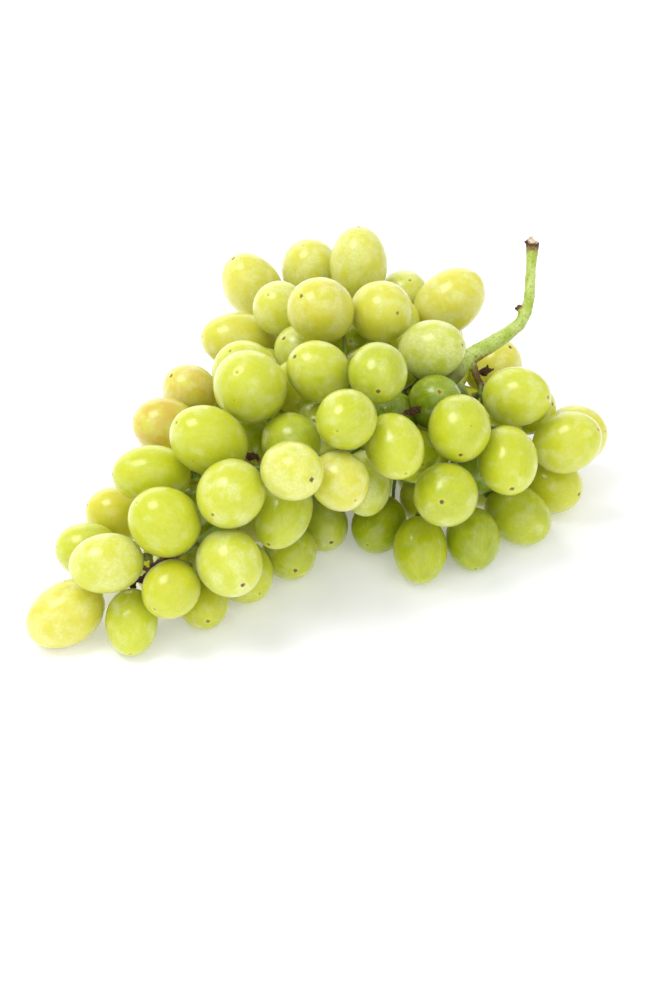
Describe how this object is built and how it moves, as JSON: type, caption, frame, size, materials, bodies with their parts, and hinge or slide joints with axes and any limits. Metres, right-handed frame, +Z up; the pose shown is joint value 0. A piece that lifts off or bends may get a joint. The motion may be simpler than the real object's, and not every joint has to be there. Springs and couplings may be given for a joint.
{
  "type": "bunch of grapes",
  "caption": "Bunch of white table grapes lying on its side: oval berries on a branched green stem that ends in a cut stalk.",
  "frame": {"origin": "middle of the bunch's outline seen from above, on the surface it lies on", "axes": "+Z up; +X along the bunch from its tip towards its stalk, the long way of the lying bunch; -Y is the side that faces the viewer"},
  "size_m": [0.1788, 0.162, 0.0763],
  "materials": {
    "cluster_back": "thin waxy skin over translucent flesh, with a little bloom and a brown scar at the free end",
    "cluster_crown_inner": "thin waxy skin over translucent flesh, with a little bloom and a brown scar at the free end",
    "cluster_floor_inner": "thin waxy skin over translucent flesh, with a little bloom and a brown scar at the free end",
    "cluster_left_inner": "thin waxy skin over translucent flesh, with a little bloom and a brown scar at the free end",
    "cluster_right_base": "thin waxy skin over translucent flesh, with a little bloom and a brown scar at the free end",
    "cluster_right_inner": "thin waxy skin over translucent flesh, with a little bloom and a brown scar at the free end",
    "low_1": "thin waxy skin over translucent flesh, with a little bloom and a brown scar at the free end",
    "low_2": "thin waxy skin over translucent flesh, with a little bloom and a brown scar at the free end",
    "low_3": "thin waxy skin over translucent flesh, with a little bloom and a brown scar at the free end",
    "low_4": "thin waxy skin over translucent flesh, with a little bloom and a brown scar at the free end",
    "low_5": "thin waxy skin over translucent flesh, with a little bloom and a brown scar at the free end",
    "low_6": "thin waxy skin over translucent flesh, with a little bloom and a brown scar at the free end",
    "low_7": "thin waxy skin over translucent flesh, with a little bloom and a brown scar at the free end",
    "mid_1": "thin waxy skin over translucent flesh, with a little bloom and a brown scar at the free end",
    "mid_10": "thin waxy skin over translucent flesh, with a little bloom and a brown scar at the free end",
    "mid_11": "thin waxy skin over translucent flesh, with a little bloom and a brown scar at the free end",
    "mid_12": "thin waxy skin over translucent flesh, with a little bloom and a brown scar at the free end",
    "mid_13": "thin waxy skin over translucent flesh, with a little bloom and a brown scar at the free end",
    "mid_14": "thin waxy skin over translucent flesh, with a little bloom and a brown scar at the free end",
    "mid_15": "thin waxy skin over translucent flesh, with a little bloom and a brown scar at the free end",
    "mid_16": "thin waxy skin over translucent flesh, with a little bloom and a brown scar at the free end",
    "mid_17": "thin waxy skin over translucent flesh, with a little bloom and a brown scar at the free end",
    "mid_2": "thin waxy skin over translucent flesh, with a little bloom and a brown scar at the free end",
    "mid_3": "thin waxy skin over translucent flesh, with a little bloom and a brown scar at the free end",
    "mid_4": "thin waxy skin over translucent flesh, with a little bloom and a brown scar at the free end",
    "mid_5": "thin waxy skin over translucent flesh, with a little bloom and a brown scar at the free end",
    "mid_6": "thin waxy skin over translucent flesh, with a little bloom and a brown scar at the free end",
    "mid_8": "thin waxy skin over translucent flesh, with a little bloom and a brown scar at the free end",
    "right_1": "thin waxy skin over translucent flesh, with a little bloom and a brown scar at the free end",
    "right_10": "thin waxy skin over translucent flesh, with a little bloom and a brown scar at the free end",
    "right_11": "thin waxy skin over translucent flesh, with a little bloom and a brown scar at the free end",
    "right_12": "thin waxy skin over translucent flesh, with a little bloom and a brown scar at the free end",
    "right_13": "thin waxy skin over translucent flesh, with a little bloom and a brown scar at the free end",
    "right_2": "thin waxy skin over translucent flesh, with a little bloom and a brown scar at the free end",
    "right_6": "thin waxy skin over translucent flesh, with a little bloom and a brown scar at the free end",
    "right_7": "thin waxy skin over translucent flesh, with a little bloom and a brown scar at the free end",
    "right_8": "thin waxy skin over translucent flesh, with a little bloom and a brown scar at the free end",
    "right_9": "thin waxy skin over translucent flesh, with a little bloom and a brown scar at the free end",
    "stem": "green stalk turning brown and woody towards the cut and the twigs",
    "tip_1": "thin waxy skin over translucent flesh, with a little bloom and a brown scar at the free end",
    "tip_2": "thin waxy skin over translucent flesh, with a little bloom and a brown scar at the free end",
    "tip_3": "thin waxy skin over translucent flesh, with a little bloom and a brown scar at the free end",
    "tip_4": "thin waxy skin over translucent flesh, with a little bloom and a brown scar at the free end",
    "tip_5": "thin waxy skin over translucent flesh, with a little bloom and a brown scar at the free end",
    "tip_6": "thin waxy skin over translucent flesh, with a little bloom and a brown scar at the free end",
    "tip_7": "thin waxy skin over translucent flesh, with a little bloom and a brown scar at the free end",
    "tip_8": "thin waxy skin over translucent flesh, with a little bloom and a brown scar at the free end",
    "top_1": "thin waxy skin over translucent flesh, with a little bloom and a brown scar at the free end",
    "top_2": "thin waxy skin over translucent flesh, with a little bloom and a brown scar at the free end",
    "top_3": "thin waxy skin over translucent flesh, with a little bloom and a brown scar at the free end",
    "top_4": "thin waxy skin over translucent flesh, with a little bloom and a brown scar at the free end",
    "top_5": "thin waxy skin over translucent flesh, with a little bloom and a brown scar at the free end",
    "top_6": "thin waxy skin over translucent flesh, with a little bloom and a brown scar at the free end",
    "top_7": "thin waxy skin over translucent flesh, with a little bloom and a brown scar at the free end",
    "top_8": "thin waxy skin over translucent flesh, with a little bloom and a brown scar at the free end",
    "wing_1": "thin waxy skin over translucent flesh, with a little bloom and a brown scar at the free end",
    "wing_2": "thin waxy skin over translucent flesh, with a little bloom and a brown scar at the free end",
    "wing_3": "thin waxy skin over translucent flesh, with a little bloom and a brown scar at the free end",
    "wing_4": "thin waxy skin over translucent flesh, with a little bloom and a brown scar at the free end"
  },
  "bodies": {
    "root": {"cluster_back": "cluster_back", "cluster_crown_inner": "cluster_crown_inner", "cluster_floor_inner": "cluster_floor_inner", "cluster_left_inner": "cluster_left_inner", "cluster_right_base": "cluster_right_base", "cluster_right_inner": "cluster_right_inner", "low_1": "low_1", "low_2": "low_2", "low_3": "low_3", "low_4": "low_4", "low_5": "low_5", "low_6": "low_6", "low_7": "low_7", "mid_1": "mid_1", "mid_10": "mid_10", "mid_11": "mid_11", "mid_12": "mid_12", "mid_13": "mid_13", "mid_14": "mid_14", "mid_15": "mid_15", "mid_16": "mid_16", "mid_17": "mid_17", "mid_2": "mid_2", "mid_3": "mid_3", "mid_4": "mid_4", "mid_5": "mid_5", "mid_6": "mid_6", "mid_8": "mid_8", "right_1": "right_1", "right_10": "right_10", "right_11": "right_11", "right_12": "right_12", "right_13": "right_13", "right_2": "right_2", "right_6": "right_6", "right_7": "right_7", "right_8": "right_8", "right_9": "right_9", "stem": "stem", "tip_1": "tip_1", "tip_2": "tip_2", "tip_3": "tip_3", "tip_4": "tip_4", "tip_5": "tip_5", "tip_6": "tip_6", "tip_7": "tip_7", "tip_8": "tip_8", "top_1": "top_1", "top_2": "top_2", "top_3": "top_3", "top_4": "top_4", "top_5": "top_5", "top_6": "top_6", "top_7": "top_7", "top_8": "top_8", "wing_1": "wing_1", "wing_2": "wing_2", "wing_3": "wing_3", "wing_4": "wing_4"}
  },
  "joints": []
}
